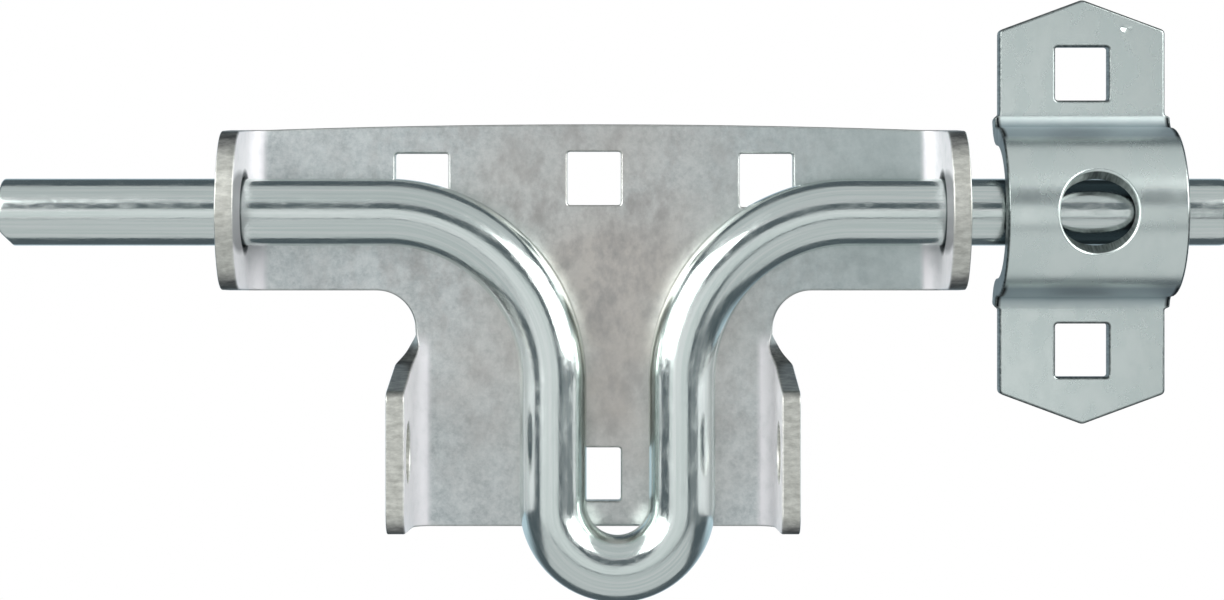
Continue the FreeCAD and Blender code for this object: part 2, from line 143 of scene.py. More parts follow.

# Finishes, and the painted highlight and painted shade on them, sRGB. A pair is the darkest and
# the palest tone of one finish.
ROLLED_SKIN = ("#BCC4C4", "#D6DCDB")
SKIN_GRAIN = "#EEF0EF"
BROWN_PASSIVATE = "#CDC4BB"
# Tone of the plate's right part, greener and darker than most of the skin
RIGHT_GREEN_TONE = "#B9C6C4"
SMUDGE = "#ABA8A5"
# Painted highlight: the nearly white colour of the ears' bends and inner faces
PAINTED_HIGHLIGHT_WHITE = "#F9F7F9"
# Painted shade: the dark of the gap between the bolt and its guide ears
PAINTED_SHADE_BY_BOLT = "#2E353B"
PUNCHED_EDGE = ("#B9B9B1", "#E4E4DC")
# Painted dark reflection of the room on the corners of the ears' tips
PAINTED_CORNER_REFLECTION = "#4A4A50"
DRAWN_BAR = ("#DAE4E0", "#E8EEEB")
BAR_END = "#B4B6B2"
STRAP_SKIN = ("#E0EBE7", "#E7F0EC")
# The strap's cut edge, darkened as painted shade and dark reflection
STRAP_EDGE_AND_SHADE = ("#596060", "#868D8B")
# Painted dark reflection on the flanks of the keeper's arch
PAINTED_FLANK_REFLECTION = "#8797A2"
# Painted shadow in the corner of the step from the arch to a foot
PAINTED_STEP_SHADOW = "#14181B"
# Painted shade inside the keeper's arch
PAINTED_ARCH_SHADE = "#3A4143"
FOOT_BACK = "#A9B1AF"
FRONT_FINISH = (1.8 * MM, 3.0 * MM)  # from the back of the sheet, where its front's finish sets in

# Studio. Brightness is 1 where a white wall stands in plain light.
ROOM_LEVEL = 0.16
ROOM_TINT = "#C4D8E4"
WHITE = "#FFFFFF"
PAPER = "#E8E8E6"
FLOOR_HALF = 6.0
FLOOR_DROP = 1.0
FLOOR_WHITE = 0.8          # how white the camera sees the floor, so that shadows stay
# Soft panels: name, degrees to the right of the camera and above it, distance, width and
# height in metres, and brightness
PANELS = (
    ("panel_top", 0, 66, 0.7, 1.6, 0.95, 0.45),
    ("panel_low", 0, -61, 0.7, 1.6, 1.12, 0.48),
    ("panel_front", -12, -4.5, 0.9, 1.1, 0.48, 0.66),
    ("panel_left", -54, 21, 0.9, 0.84, 0.58, 4.6),
    ("panel_right", 57, 21, 0.9, 0.76, 0.58, 4.6),
    ("panel_fill", 50, -9, 0.9, 0.7, 0.36, 0.12),
    ("panel_side", 108, -2, 0.9, 0.9, 0.40, 0.9),
)


def smooth(share):
    """Smooth step: 3 t^2 - 2 t^3, held at 0 and 1 outside."""
    share = np.clip(share, 0, 1)
    return share * share * (3 - 2 * share)


def arc(centre, radius, start, end):
    """Evenly spaced points on an arc in the blank, its last one left out. Angles in radians."""
    count = max(3, math.ceil(abs(end - start) * radius / LOOP_STEP))
    angle = np.linspace(start, end, count, endpoint=False)
    return np.array(centre) + radius * np.column_stack([np.cos(angle), np.sin(angle)])


def rounded(corners, closed=True):
    """Outline through corners given as (u, v, radius), each rounded by an arc.

    The arc touches both edges, so its ends lie radius * tan(half the turn) from the corner.
    Straight runs are divided evenly. An open outline keeps its first and last corner.
    """
    place = np.array([corner[:2] for corner in corners])
    before = place - np.roll(place, 1, axis=0)
    after = np.roll(place, -1, axis=0) - place
    runs = []
    for k, (_, _, radius) in enumerate(corners):
        if radius == 0 or (not closed and k in (0, len(corners) - 1)):
            runs.append(place[k:k + 1])
            continue
        way_in = before[k] / np.linalg.norm(before[k])
        way_out = after[k] / np.linalg.norm(after[k])
        turn = math.atan2(way_in[0] * way_out[1] - way_in[1] * way_out[0], way_in @ way_out)
        left = np.array([-way_in[1], way_in[0]]) * math.copysign(1, turn)
        first = place[k] - way_in * radius * math.tan(abs(turn) / 2)
        centre = first + left * radius
        start = math.atan2(-left[1], -left[0])
        count = max(3, math.ceil(abs(turn) * radius / LOOP_STEP)) + 1
        angle = np.linspace(start, start + turn, count)
        runs.append(centre + radius * np.column_stack([np.cos(angle), np.sin(angle)]))
    pieces = []
    for k, run in enumerate(runs):
        pieces.append(run)
        if k == len(runs) - 1 and not closed:
            break
        start, end = run[-1], runs[(k + 1) % len(runs)][0]
        count = max(1, math.ceil(np.linalg.norm(end - start) / LOOP_STEP))
        share = np.linspace(0, 1, count, endpoint=False)[1:, None]
        pieces.append(start + (end - start) * share)
    return np.vstack(pieces)


def square_hole(centre):
    """Square hole with slightly rounded corners, clockwise because the metal lies outside it."""
    half = SQUARE_HOLE / 2
    u, v = centre
    return rounded([(u - half, v - half, SQUARE_CORNER), (u - half, v + half, SQUARE_CORNER),
                    (u + half, v + half, SQUARE_CORNER), (u + half, v - half, SQUARE_CORNER)])


def round_hole(centre, radius):
    """Round hole, clockwise."""
    return arc(centre, radius, 2 * math.pi, 0)


def mirrored(loop):
    """The same loop on the blank's other half, still the right way round."""
    return (loop * [-1, 1])[::-1]


def on_ear(depth):
    """Distance past the fold's start, along the blank, of a place this far from the door."""
    return BEND_LENGTH + depth - BEND_OUTSIDE


def plate_outline():
    """The plate's blank, laid flat: lower field, lock ears, neck, crossbar and guide ears."""
    lock_root = LOCK_BEND + BEND_LENGTH
    lock_tip = LOCK_BEND + on_ear(EAR_DEPTH)
    slope = (LOCK_SHOULDER - LOCK_ROOT) / (lock_tip - lock_root)
    flare_corner = LOCK_ROOT - slope * (lock_root - NECK_HALF)
    lower = rounded([
        (0, -PLATE_DROP, 0), (lock_root, -PLATE_DROP, 0), (lock_tip, -LOCK_TOE, LOCK_ROUND_LOW),
        (lock_tip, -LOCK_SHOULDER, LOCK_ROUND_TOP), (NECK_HALF, -flare_corner, LOCK_FLARE),
        (NECK_HALF, -BAR_DROP, NECK_CORNER), (GUIDE_BEND, -BAR_DROP, 0)], closed=False)

    # The guide ear's tip: a large arc between two small ones that touch the straight edges
    middle = np.array([GUIDE_BEND + on_ear(EAR_DEPTH - GUIDE_ARC), 0])
    reach = GUIDE_ARC - GUIDE_CORNER
    low, high = -BAR_DROP + GUIDE_CORNER, BAR_RISE - GUIDE_CORNER
    low_centre = middle + [math.sqrt(reach**2 - low**2), low]
    high_centre = middle + [math.sqrt(reach**2 - high**2), high]
    low_turn, high_turn = math.asin(low / reach), math.asin(high / reach)
    tip = [arc(low_centre, GUIDE_CORNER, -math.pi / 2, low_turn),
           arc(middle, GUIDE_ARC, low_turn, high_turn),
           arc(high_centre, GUIDE_CORNER, high_turn, math.pi / 2)]
    to_tip = rounded([(GUIDE_BEND, -BAR_DROP, 0), (tip[0][0, 0], -BAR_DROP, 0)], closed=False)
    top = rounded([(high_centre[0], BAR_RISE, 0), (0, BAR_RISE, 0)], closed=False)
    half = np.vstack([lower, to_tip[1:-1], *tip, top])

    # The ear narrows towards its tip, and the top edge is crowned between the two ears
    past_bend = (half[:, 0] - GUIDE_BEND) / on_ear(EAR_DEPTH)
    half[:, 1] *= 1 - GUIDE_TAPER * smooth(past_bend)
    crown = np.clip(1 - (half[:, 0] / GUIDE_BEND) ** 2, 0, None)
    half[:, 1] += np.where(half[:, 1] > 0, BAR_CROWN * crown, 0)
    return np.vstack([half, mirrored(half)[1:-1]])


def guide_hole(from_back):
    """The hole for the bolt, bored straight along X through the ear and into its fold.

    Where the bore meets the fold, the angle about the fold's axis follows from the depth:
    cos(angle) = (BEND_OUTSIDE - depth) / radius, with the radius of the layer in the sheet.
    """
    circle = round_hole((BOLT_DEPTH, 0), GUIDE_HOLE_RADIUS)
    depth, v = circle[:, 0], circle[:, 1]
    layer = BEND_OUTSIDE - from_back
    angle = np.arccos(np.clip((BEND_OUTSIDE - depth) / layer, 0, 1))
    past = np.where(depth > BEND_OUTSIDE, on_ear(depth), angle * BEND_MIDDLE)
    return np.column_stack([GUIDE_BEND + past, v])


def plate_loops(from_back):
    """Every cut edge of the plate's blank, at one layer of the sheet."""
    padlock = round_hole((LOCK_BEND + on_ear(PADLOCK_DEPTH), -PADLOCK_DROP), PADLOCK_HOLE / 2)
    guide = guide_hole(from_back)
    side = square_hole(SIDE_HOLE)
    return [plate_outline(), square_hole(MIDDLE_HOLE), square_hole(LOWEST_HOLE),
            side, mirrored(side), padlock, mirrored(padlock), guide, mirrored(guide)]


def fold_plate(u, v, from_back):
    """Folded place of the blank's point (u, v), and the sheet's own directions there.

    Past the fold line the sheet turns forwards with curvature share / BEND_MIDDLE, over
    BEND_LENGTH, and then runs straight. The share is 1, apart from the stretch below the neck
    where it grows from 0 to 1.
    """
    crossbar = v > -(BAR_DROP + FOLD_START) / 2
    line = np.where(crossbar, GUIDE_BEND, LOCK_BEND)
    share = np.where(crossbar, 1, smooth((-v - FOLD_START) / (FOLD_FULL - FOLD_START)))
    past = np.clip(np.abs(u) - line, 0, None)
    bent = np.minimum(past, BEND_LENGTH)
    angle = bent * share / BEND_MIDDLE
    chord = bent * np.sinc(angle / 2 / math.pi)
    straight = past - bent
    x = np.minimum(np.abs(u), line) + chord * np.cos(angle / 2) + straight * np.cos(angle)
    y = -SHEET / 2 - chord * np.sin(angle / 2) - straight * np.sin(angle)
    side = np.where(u < 0, -1.0, 1.0)
    zero = np.zeros_like(x)
    along = np.column_stack([np.cos(angle), -np.sin(angle) * side, zero])
    front = np.column_stack([-np.sin(angle) * side, -np.cos(angle), zero])
    up = np.tile([0, 0, 1.0], (len(x), 1))
    place = np.column_stack([x * side, y, v])
    return place + front * (from_back - SHEET / 2)[:, None], along, up, front


def keeper_loops(from_back):
    """Every cut edge of the keeper's strap, laid flat with v along it."""
    shoulder = FOOT_START + KEEPER_SHOULDER - FOOT_LINE
    point = FOOT_START + KEEPER_POINT - FOOT_LINE
    quarter = [(FOOT_HALF, shoulder, SHOULDER_ROUND), (FOOT_HALF, FOOT_START, KEEPER_STEP),
               (ARCH_HALF, FOOT_START - KEEPER_STEP, KEEPER_STEP)]
    right = [(u, -v, radius) for u, v, radius in quarter] + quarter[::-1]
    left = [(-u, -v, radius) for u, v, radius in right]
    outline = [(0, -point, POINT_ROUND), *right, (0, point, POINT_ROUND), *left]
    hole = FOOT_START + KEEPER_HOLE_RISE - FOOT_LINE
    return [rounded(outline), square_hole((0, hole)), square_hole((0, -hole)),
            round_hole((0, 0), CROWN_HOLE / 2)]


def fold_keeper(u, v, from_back):
    """Folded place of the strap's point (u, v), and the strap's own directions there.

    From the crown outwards come a half arch, with angle = length / ARCH_MIDDLE, a foot bend
    that turns back with angle = length / FOOT_MIDDLE, and the flat foot.
    """
    length = np.abs(v)
    side = np.where(v < 0, -1.0, 1.0)
    arch = np.minimum(length, ARCH_LENGTH) / ARCH_MIDDLE
    foot = np.clip(length - ARCH_LENGTH, 0, FOOT_START - ARCH_LENGTH) / FOOT_MIDDLE
    flat = np.clip(length - FOOT_START, 0, None)
    on_arch = length < ARCH_LENGTH
    y = np.where(on_arch, -ARCH_DEPTH - ARCH_MIDDLE * np.cos(arch),
                 -ARCH_DEPTH + FOOT_MIDDLE * np.sin(foot))
    z = np.where(on_arch, ARCH_MIDDLE * np.sin(arch),
                 FOOT_LINE - FOOT_MIDDLE * np.cos(foot) + flat)
    front_y = np.where(on_arch, -np.cos(arch), -np.sin(foot))
    front_z = np.where(on_arch, np.sin(arch), np.cos(foot))
    zero = np.zeros_like(y)
    front = np.column_stack([zero, front_y, front_z * side])
    up = np.column_stack([zero, front_z * side, -front_y])
    along = np.tile([1.0, 0, 0], (len(y), 1))
    place = np.column_stack([KEEPER_X + u, y, z * side])
    return place + front * (from_back - SHEET / 2)[:, None], along, up, front


def outward(loop):
    """Normal of a loop in its plane, to the right of the way round it, where there is no metal."""
    way = np.roll(loop, -1, axis=0) - np.roll(loop, 1, axis=0)
    way /= np.linalg.norm(way, axis=1)[:, None]
    return np.column_stack([way[:, 1], -way[:, 0]])


def inside(points, loops):
    """Whether each point lies in the metal.

    A ray from there to the right then crosses the loops an odd number of times.
    """
    crossings = np.zeros(len(points), int)
    for loop in loops:
        start, end = loop, np.roll(loop, -1, axis=0)
        straddles = (start[:, 1] > points[:, 1:2]) != (end[:, 1] > points[:, 1:2])
        rise = np.where(end[:, 1] == start[:, 1], 1, end[:, 1] - start[:, 1])
        meets = start[:, 0] + (points[:, 1:2] - start[:, 1]) * (end[:, 0] - start[:, 0]) / rise
        crossings += (straddles & (meets > points[:, :1])).sum(axis=1)
    return crossings % 2 == 1


def grid_lines(reach, bends):
    """Places of the grid's lines from -reach to reach, closer together across the bends."""
    lines = np.concatenate([np.arange(0, reach, GRID)]
                           + [np.arange(start, end, BEND_GRID) for start, end in bends])
    half = np.unique(lines)
    return np.concatenate([-half[:0:-1], half])


def face_grid(loops, bends_u, bends_v):
    """Grid points in the metal, clear of its edges, and the triangles over them and the loops."""
    edge = np.vstack(loops)
    reach = np.abs(edge).max(axis=0)
    u, v = np.meshgrid(grid_lines(reach[0], bends_u), grid_lines(reach[1], bends_v))
    grid = np.column_stack([u.ravel(), v.ravel()])
    grid = grid[inside(grid, loops)]
    clear = [np.min(np.linalg.norm(part[:, None] - edge, axis=2), axis=1) > GRID_CLEAR
             for part in np.array_split(grid, GRID_LOTS)]
    grid = grid[np.concatenate(clear)]
    points = np.vstack([edge, grid]) / MM
    starts = np.cumsum([0] + [len(loop) for loop in loops])
    ties = np.vstack([np.column_stack([np.arange(a, b), np.roll(np.arange(a, b), -1)])
                      for a, b in zip(starts[:-1], starts[1:])])
    corners = list(map(Vector, points))
    _, _, faces, source, _, _ = delaunay_2d_cdt(corners, ties.tolist(), [], 0, TOUCHING)
    source = np.array([first[0] for first in source])
    triangles = source[np.array(faces)]
    corner = points[triangles]
    side = np.cross(corner[:, 1] - corner[:, 0], corner[:, 2] - corner[:, 0])
    triangles[side < 0] = triangles[side < 0][:, ::-1]
    keep = inside(corner.mean(axis=1) * MM, loops)
    return grid, triangles[keep]


def edge_rings(front_edge):
    """Profile of a cut edge, from front to back: inset, distance from the back, lean, how cut.

    A quarter round at each face, 1 - sin for the inset and 1 - cos for the depth, with the
    straight cut wall between them. The lean is the normal's angle from the front normal.
    """
    turn = np.linspace(0, math.pi / 2, ROUND_RINGS)
    front = np.column_stack([front_edge * (1 - np.sin(turn)),
                             SHEET - front_edge * (1 - np.cos(turn)), turn, np.sin(turn) ** 2])
    down_wall = np.linspace(SHEET - front_edge, BACK_EDGE, WALL_RINGS + 2)[1:-1]
    wall = np.column_stack([np.zeros(WALL_RINGS), down_wall,
                            np.full(WALL_RINGS, math.pi / 2), np.ones(WALL_RINGS)])
    back = np.column_stack([BACK_EDGE * (1 - np.sin(turn)), BACK_EDGE * (1 - np.cos(turn)),
                            math.pi - turn, np.sin(turn) ** 2])[::-1]
    return np.vstack([front, wall, back])


def folded_sheet(name, loops_at, fold, front_edge, bends_u=(), bends_v=()):
    """One closed sheet: its blank is cut to the loops, its edges are rounded, and it is folded.

    Each loop is carried along the edge profile, from front to back, and the two faces are
    grids that end on the first and the last of those rings. bends_u and bends_v say where along
    the blank it is bent.
    """
    rings = edge_rings(front_edge)
    inset, from_back, turn, cut = rings.T
    layers = []
    for k in range(len(rings)):
        layers.append([loop - outward(loop) * inset[k] for loop in loops_at(from_back[k])])
    sizes = [len(loop) for loop in layers[0]]
    edge_count = sum(sizes)
    flat = np.vstack([np.vstack(layer) for layer in layers])
    facing = np.vstack([outward(loop) for layer in layers for loop in layer])
    depth = np.repeat(from_back, edge_count)
    lean = np.repeat(turn, edge_count)
    cutness = np.repeat(cut, edge_count)

    # Walls between one ring and the next
    start = np.cumsum([0] + sizes[:-1])
    here = np.concatenate([np.arange(n) + s for n, s in zip(sizes, start)])
    after = np.concatenate([np.roll(np.arange(n), -1) + s for n, s in zip(sizes, start)])
    ring = (np.arange(len(rings) - 1) * edge_count)[:, None]
    walls = np.stack([here + ring, here + ring + edge_count,
                      after + ring + edge_count, after + ring], axis=2).reshape(-1, 4)

    # The two faces
    front_grid, front_faces = face_grid(layers[0], bends_u, bends_v)
    back_grid, back_faces = face_grid(layers[-1], bends_u, bends_v)
    grids = np.vstack([front_grid, back_grid])
    last_ring = (len(rings) - 1) * edge_count
    first_grid = len(rings) * edge_count
    front_faces = np.where(front_faces < edge_count, front_faces,
                           front_faces - edge_count + first_grid)
    back_start = first_grid + len(front_grid)
    back_faces = np.where(back_faces < edge_count, back_faces + last_ring,
                          back_faces - edge_count + back_start)[:, ::-1]
    flat = np.vstack([flat, grids])
    on_front = np.arange(len(grids)) < len(front_grid)
    facing = np.vstack([facing, np.zeros_like(grids)])
    depth = np.concatenate([depth, np.where(on_front, SHEET, 0)])
    lean = np.concatenate([lean, np.where(on_front, 0, math.pi)])
    cutness = np.concatenate([cutness, np.zeros(len(grids))])

    place, along, up, front = fold(flat[:, 0], flat[:, 1], depth)
    in_plane = along * facing[:, :1] + up * facing[:, 1:]
    normal = in_plane * np.sin(lean)[:, None] + front * np.cos(lean)[:, None]
    faces = walls.tolist() + front_faces.tolist() + back_faces.tolist()
    pattern = np.column_stack([flat, depth])
    return finished(name, place, faces, normal, pattern, cutness)


def bolt_path(along):
    """Centre of the bent bar and its heading in the XZ plane, at distances along it.

    The bar is runs of constant curvature. Within a run the chord is the distance times
    sinc(half the turn), and it points half the turn past the run's heading.
    """
    quarter = SHOULDER_BEND * math.pi / 2
    arm = BOLT_HALF - LEG_HALF - SHOULDER_BEND
    leg = LEG_DROP - SHOULDER_BEND
    # The handle hangs from the bar's middle, so both arms are as long
    lengths = np.array([arm, quarter, leg, LEG_HALF * math.pi, leg, quarter, arm])
    bends = np.array([0, -1 / SHOULDER_BEND, 0, 1 / LEG_HALF, 0, -1 / SHOULDER_BEND, 0])
    headings = np.concatenate([[0], np.cumsum(lengths * bends)[:-1]])
    starts = np.concatenate([[0], np.cumsum(lengths)[:-1]])

    def chords(run, distance):
        half_turn = bends[run] * distance / 2
        chord = distance * np.sinc(half_turn / math.pi)
        way = headings[run] + half_turn
        return np.column_stack([chord * np.cos(way), chord * np.sin(way)])

    steps = chords(np.arange(len(lengths)), lengths)
    heel = np.array([BOLT_MIDDLE - BOLT_HALF, 0])
    begins = heel + np.vstack([[0, 0], np.cumsum(steps, axis=0)[:-1]])
    run = np.clip(np.searchsorted(starts, along, side="right") - 1, 0, len(lengths) - 1)
    distance = along - starts[run]
    centre = begins[run] + chords(run, distance)
    return centre, headings[run] + bends[run] * distance, lengths.sum()


def bolt_rings(total):
    """Distance along the bar and radius of each of its rings, from the heel to the tip.

    Both ends are rounded by a quarter circle, 1 - sin for the distance and 1 - cos for the
    radius, and on their faces the radius shrinks evenly to the middle.
    """
    quarter = np.linspace(0, math.pi / 2, TIP_RINGS + 1)[:-1]
    body = np.linspace(HEEL_ROUND, total - TIP_ROUND, int(total / BAR_STEP))
    shares = np.linspace(1, 0, END_RINGS + 1)[:-1]
    heel_rings = [(0.0, (BAR_RADIUS - HEEL_ROUND) * share) for share in shares[::-1]]
    heel_round = [(HEEL_ROUND * (1 - math.sin(a)), BAR_RADIUS - HEEL_ROUND * (1 - math.cos(a)))
                  for a in quarter[::-1]][:-1]
    tip_round = [(total - TIP_ROUND * (1 - math.sin(a)),
                  BAR_RADIUS - TIP_ROUND * (1 - math.cos(a))) for a in quarter[1:]]
    tip_rings = [(total, (BAR_RADIUS - TIP_ROUND) * share) for share in shares]
    rings = heel_rings + heel_round + [(s, BAR_RADIUS) for s in body] + tip_round + tip_rings
    return np.array(rings).T


def make_bolt():
    """Round bar carried along its path, with its sheared heel and rounded tip.

    A ring's point is centre + radius * (cos(turn) * front + sin(turn) * side).
    """
    total = bolt_path(np.zeros(1))[2]
    along, radius = bolt_rings(total)
    turn = np.linspace(0, 2 * math.pi, AROUND_BAR, endpoint=False) + math.pi
    side = radius[:, None] * np.sin(turn)
    front = radius[:, None] * np.cos(turn)

    # The shear leaves a slope under the heel, eased into the bar
    slope = HEEL_SLOPE * smooth(1 - (side + BAR_RADIUS) / HEEL_RISE)
    eased = np.clip(1 - along / HEEL_EASE, 0, 1)[:, None]
    shift = slope * eased
    centre, heading, _ = bolt_path(along)
    x = centre[:, :1] - side * np.sin(heading)[:, None] + shift
    z = centre[:, 1:] + side * np.cos(heading)[:, None]
    y = -BOLT_DEPTH - front
    place = np.stack([x, y, z], axis=2).reshape(-1, 3)
    pattern = np.stack([np.broadcast_to(along[:, None], side.shape), front, side], axis=2)
    pattern = pattern.reshape(-1, 3)
    index = np.arange(len(along) * AROUND_BAR).reshape(-1, AROUND_BAR)
    beside = np.roll(index, -1, axis=1)
    walls = np.stack([index[:-1], beside[:-1], beside[1:], index[1:]], axis=2).reshape(-1, 4)
    poles = np.array([[BOLT_MIDDLE - BOLT_HALF, -BOLT_DEPTH, 0],
                      [BOLT_MIDDLE + BOLT_HALF, -BOLT_DEPTH, 0]])
    heel, tip = len(place), len(place) + 1
    caps = np.vstack([np.column_stack([np.full(AROUND_BAR, heel), beside[0], index[0]]),
                      np.column_stack([np.full(AROUND_BAR, tip), index[-1], beside[-1]])])
    place = np.vstack([place, poles])
    pattern = np.vstack([pattern, [[0, 0, 0], [total, 0, 0]]])
    narrowed = (radius < BAR_RADIUS - 0.1 * MM).astype(float)
    on_end = np.concatenate([np.repeat(narrowed, AROUND_BAR), [1, 1]])
    faces = walls.tolist() + caps.tolist()
    piece = finished("slide_bolt_bar", place, faces, None, pattern, on_end)
    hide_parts("slide_bolt")
    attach(piece, "bolt")
    return piece


def finished(name, place, faces, normal, pattern, cut):
    """Smooth mesh object with each point's place in the pattern and how far it is a cut edge."""
    mesh = bpy.data.meshes.new(name)
    mesh.from_pydata(place.tolist(), [], faces)
    places = mesh.attributes.new("pattern", "FLOAT_VECTOR", "POINT")
    places.data.foreach_set("vector", pattern.ravel())
    mesh.attributes.new("cut", "FLOAT", "POINT").data.foreach_set("value", cut)
    mesh.shade_smooth()
    if normal is not None:
        mesh.normals_split_custom_set_from_vertices(normal.tolist())
    mesh.validate()
    piece = bpy.data.objects.new(name, mesh)
    bpy.context.scene.collection.objects.link(piece)
    return piece


def make_plate():
    """The folded plate with its four ears."""
    bends = [(line, line + BEND_LENGTH) for line in (LOCK_BEND, GUIDE_BEND)]
    piece = folded_sheet("latch_plate_sheet", plate_loops, fold_plate, PLATE_EDGE, bends_u=bends)
    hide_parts("latch_plate")
    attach(piece, "fixed")
    return piece


def make_keeper():
    """The arched keeper strap."""
    bends = [(0, ARCH_LENGTH), (ARCH_LENGTH, FOOT_START)]
    piece = folded_sheet("keeper_strap", keeper_loops, fold_keeper, KEEPER_EDGE, bends_v=bends)
    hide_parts("keeper")
    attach(piece, "fixed")
    return piece


def linear(hex_colour):
    """sRGB hex to the linear RGBA that the shaders take."""
    parts = np.array([int(hex_colour[k:k + 2], 16) for k in (1, 3, 5)]) / 255
    parts = np.where(parts <= 0.04045, parts / 12.92, ((parts + 0.055) / 1.055) ** 2.4)
    return (*parts.tolist(), 1.0)


def add(tree, kind, inputs=(), **settings):
    """One node with its settings, and its inputs set to a value or linked.

    The inputs go by name, or in order over the sockets in use. A colour is given in hex, and
    a node stands for the first of its outputs in use.
    """
    node = tree.nodes.new("ShaderNode" + kind)
    for name, value in settings.items():
        setattr(node, name, value)
    if isinstance(inputs, dict):
        pairs = [(node.inputs[name], value) for name, value in inputs.items()]
    else:
        pairs = list(zip([socket for socket in node.inputs if socket.enabled], inputs))
    for socket, value in pairs:
        if isinstance(value, bpy.types.Node):
            value = next(output for output in value.outputs if output.enabled)
        if isinstance(value, bpy.types.NodeSocket):
            tree.links.new(value, socket)
        else:
            socket.default_value = linear(value) if isinstance(value, str) else value
    return node


def empty_tree(owner):
    """Node tree of a new material or world, with nothing in it yet."""
    owner.use_nodes = True
    owner.node_tree.nodes.clear()
    return owner.node_tree


def noise(tree, place, grain, detail=3.0, rough=0.55):
    """Noise whose lumps are this long along the pattern's three directions, in metres."""
    stretch = tuple(1 / size for size in grain)
    stretched = add(tree, "VectorMath", (place, stretch), operation="MULTIPLY")
    return add(tree, "TexNoise", {"Vector": stretched, "Scale": 1.0, "Detail": detail,
                                  "Roughness": rough})


def near(tree, place, centre, reach):
    """1 at a place in the pattern, falling evenly to 0 this far from it along each direction."""
    stretch = tuple(1 / size for size in reach)
    moved = add(tree, "VectorMath", (place, centre), operation="SUBTRACT")
    stretched = add(tree, "VectorMath", (moved, stretch), operation="MULTIPLY")
    away = add(tree, "VectorMath", (stretched,), operation="LENGTH")
    return add(tree, "MapRange", (away, 0.0, 1.0, 1.0, 0.0))


def relief(tree, layers):
    """Normal of a surface with several patterns on it, each given with its depth in metres."""
    normal = None
    for height, depth in layers:
        bump = {"Height": height, "Distance": depth, "Strength": 1.0}
        normal = add(tree, "Bump", bump if normal is None else {**bump, "Normal": normal})
    return normal


def metal_parts(name):
    """New material with its tree, the pattern's place and how far the surface is a cut edge."""
    material = bpy.data.materials.new(name)
    tree = empty_tree(material)
    place = add(tree, "Attribute", attribute_name="pattern").outputs["Vector"]
    cut = add(tree, "Attribute", attribute_name="cut").outputs["Fac"]
    return material, tree, place, cut


def ear_shares(tree, place):
    """How far each place of the plate's blank is part of a guide ear, and of a lock ear."""
    parts = add(tree, "SeparateXYZ", (place,)).outputs
    across = add(tree, "Math", (parts["X"],), operation="ABSOLUTE")
    guide = add(tree, "MapRange", (across, GUIDE_BEND - 0.5 * MM, GUIDE_BEND + 1.0 * MM))
    below = add(tree, "MapRange", (parts["Y"], -FOLD_FULL, -FOLD_START, 1.0, 0.0))
    lock = add(tree, "MapRange", (across, LOCK_BEND - 0.5 * MM, LOCK_BEND + 1.0 * MM, 0.0, below))
    return guide, lock


def corner_dark_reflection(tree, place, guide, lock):
    """1 on the ears' cut edges at the corners of their tips.

    It is a painted dark reflection of the room above and below. It sets in between 10.5 and 13 mm
    above and below the middle of a guide ear, and between 11 and 12.5 mm above and below that of a
    lock ear.
    """
    tip = near(tree, place, (0, 0, 0), (1, 17 * MM, 1))
    blade = near(tree, place, (0, -45.5 * MM, 0), (1, 14 * MM, 1))
    on_guide = add(tree, "MapRange", (tip, 0.24, 0.38, guide, 0.0))
    on_lock = add(tree, "MapRange", (blade, 0.10, 0.22, lock, 0.0))
    return add(tree, "Math", (on_guide, on_lock), operation="MAXIMUM")


def guide_bore_shade(tree, place, guide, front):
    """Painted shade round the bolt in the bore of a guide ear, and that with the painted shade
    beside the bore on the ear.
    """
    half = add(tree, "VectorMath", (place,), operation="ABSOLUTE")
    bore = near(tree, half, (GUIDE_BEND + on_ear(BOLT_DEPTH), 0, 0), (14 * MM, 14 * MM, 1))
    bore_shade_ring = add(tree, "MapRange", (bore, 0.40, 0.47, 0.0, 0.9))
    shade_in_bore = add(tree, "Math", (guide, bore_shade_ring), operation="MULTIPLY")
    beside = near(tree, half, (GUIDE_BEND + on_ear(BORE_SHADE_DEPTH), 0, 0), (25 * MM, 13.2 * MM, 1))
    shade_falloff = add(tree, "MapRange", (beside, 0.38, 0.48, 0.0, 0.55))
    inner_face = add(tree, "Math", (guide, front), operation="MULTIPLY")
    shade_beside_bore = add(tree, "Math", (inner_face, shade_falloff), operation="MULTIPLY")
    return shade_in_bore, add(tree, "Math", (shade_in_bore, shade_beside_bore), operation="MAXIMUM")


def rolled_skin(tree, place, front, clouds, grain):
    """Colour of the rolled skin, with its stain, its smudges and its greener right part."""
    drift = noise(tree, place, (20 * MM, 20 * MM, 20 * MM), 2.0)
    smudge = noise(tree, place, (4 * MM, 6 * MM, 6 * MM), 5.0, 0.65)
    cloudy = add(tree, "MapRange", (clouds, 0.36, 0.64))
    skin = add(tree, "Mix", (cloudy, *ROLLED_SKIN), data_type="RGBA")
    mottled = add(tree, "MapRange", (grain, 0.40, 0.70, 0.0, 0.5))
    skin = add(tree, "Mix", (mottled, skin, SKIN_GRAIN), data_type="RGBA")
    middle = near(tree, place, (0, -20 * MM, 0), (45 * MM, 60 * MM, 1))
    in_middle = add(tree, "Math", (front, middle), operation="MULTIPLY")
    thick = add(tree, "Math", (in_middle, drift), operation="MULTIPLY")
    stain = add(tree, "MapRange", (thick, 0.05, 0.45, 0.0, 0.75))
    skin = add(tree, "Mix", (stain, skin, BROWN_PASSIVATE), data_type="RGBA")
    wide = near(tree, place, (0, -8 * MM, 0), (70 * MM, 55 * MM, 1))
    handled = add(tree, "Math", (front, wide), operation="MULTIPLY")
    smudges = add(tree, "MapRange", (smudge, 0.45, 0.68, 0.0, handled))
    skin = add(tree, "Mix", (smudges, skin, SMUDGE), data_type="RGBA")
    right = near(tree, place, (66 * MM, 0, 0), (50 * MM, 60 * MM, 1))
    greener = add(tree, "MapRange", (right, 0.0, 0.7, 0.0, 0.65))
    return add(tree, "Mix", (greener, skin, RIGHT_GREEN_TONE), data_type="RGBA")


